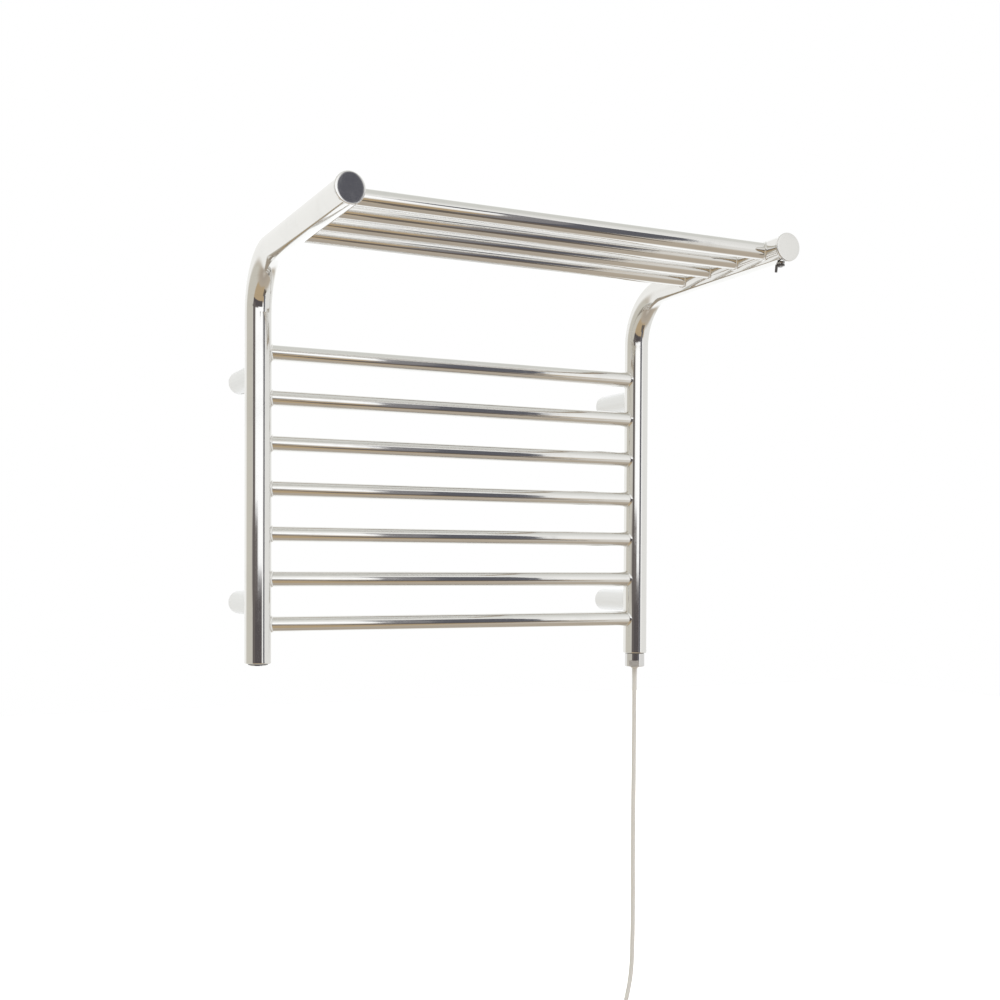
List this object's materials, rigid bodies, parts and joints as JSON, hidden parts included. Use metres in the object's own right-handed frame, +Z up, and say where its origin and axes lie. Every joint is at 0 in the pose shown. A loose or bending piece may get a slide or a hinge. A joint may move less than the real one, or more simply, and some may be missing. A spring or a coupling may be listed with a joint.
{
  "type": "heated towel rail",
  "caption": "Wall-hung ladder-shaped heated towel rail in polished steel tube, with a slatted shelf on forward arms, a heating element, cable and air vent.",
  "frame": {"origin": "centre of the four wall fixings, in the wall's plane", "axes": "+X to the right as seen from the room, +Y into the wall, +Z up; the rail stands towards -Y"},
  "size_m": [0.6277, 0.457, 1.2485],
  "materials": {
    "polished_steel": "mirror-polished stainless steel",
    "satin_steel": "bright stainless steel, finely turned and lightly polished",
    "screw_steel": "plain stainless steel",
    "plated_brass": "bright nickel-chrome plate on brass",
    "dark_rubber": "black sealing rubber",
    "dark_plastic": "dark grey moulded plastic",
    "white_moulding": "white moulded plastic, satin",
    "white_flex": "white PVC cable sheath",
    "brown_insulation": "brown PVC",
    "blue_insulation": "blue PVC",
    "green_yellow_insulation": "green and yellow PVC"
  },
  "bodies": {
    "rail": {"left_upright": "polished_steel", "right_upright": "polished_steel", "rung_1": "polished_steel", "rung_2": "polished_steel", "rung_3": "polished_steel", "rung_4": "polished_steel", "rung_5": "polished_steel", "rung_6": "polished_steel", "rung_7": "polished_steel", "shelf_bar_1": "polished_steel", "shelf_bar_2": "polished_steel", "shelf_bar_3": "polished_steel", "shelf_bar_4": "polished_steel", "left_front_cap": "polished_steel", "right_front_cap": "polished_steel", "left_bottom_plate": "polished_steel", "right_bottom_plate": "polished_steel", "bracket_sleeve_upper_left": "satin_steel", "bracket_sleeve_upper_right": "satin_steel", "bracket_sleeve_lower_left": "satin_steel", "bracket_sleeve_lower_right": "satin_steel", "wall_spigot_upper_left": "satin_steel", "wall_spigot_upper_right": "satin_steel", "wall_spigot_lower_left": "satin_steel", "wall_spigot_lower_right": "satin_steel", "grub_screws": "screw_steel", "blanking_plug": "polished_steel", "plug_seal": "dark_rubber", "element_rod": "screw_steel", "element_head": "plated_brass", "element_seal": "dark_rubber", "cable_gland": "white_moulding", "cable_drop": "white_flex", "cable_hank": "white_flex", "cable_tie": "white_moulding", "core_brown": "brown_insulation", "core_blue": "blue_insulation", "core_earth": "green_yellow_insulation", "vent_bush": "polished_steel", "vent_body": "plated_brass"},
    "nozzle": {"vent_nozzle": "dark_plastic"},
    "bleed_screw": {"vent_screw": "plated_brass"}
  },
  "joints": [
    {"name": "nozzle_turn", "type": "hinge", "parent": "rail", "child": "nozzle", "pos_m": [0.292, -0.441, 0.2854], "axis": [0, 0, 1], "continuous": true},
    {"name": "bleed_screw_turn", "type": "hinge", "parent": "rail", "child": "bleed_screw", "pos_m": [0.292, -0.441, 0.2833], "axis": [0, 0, -1], "range_deg": [0, 360]}
  ]
}
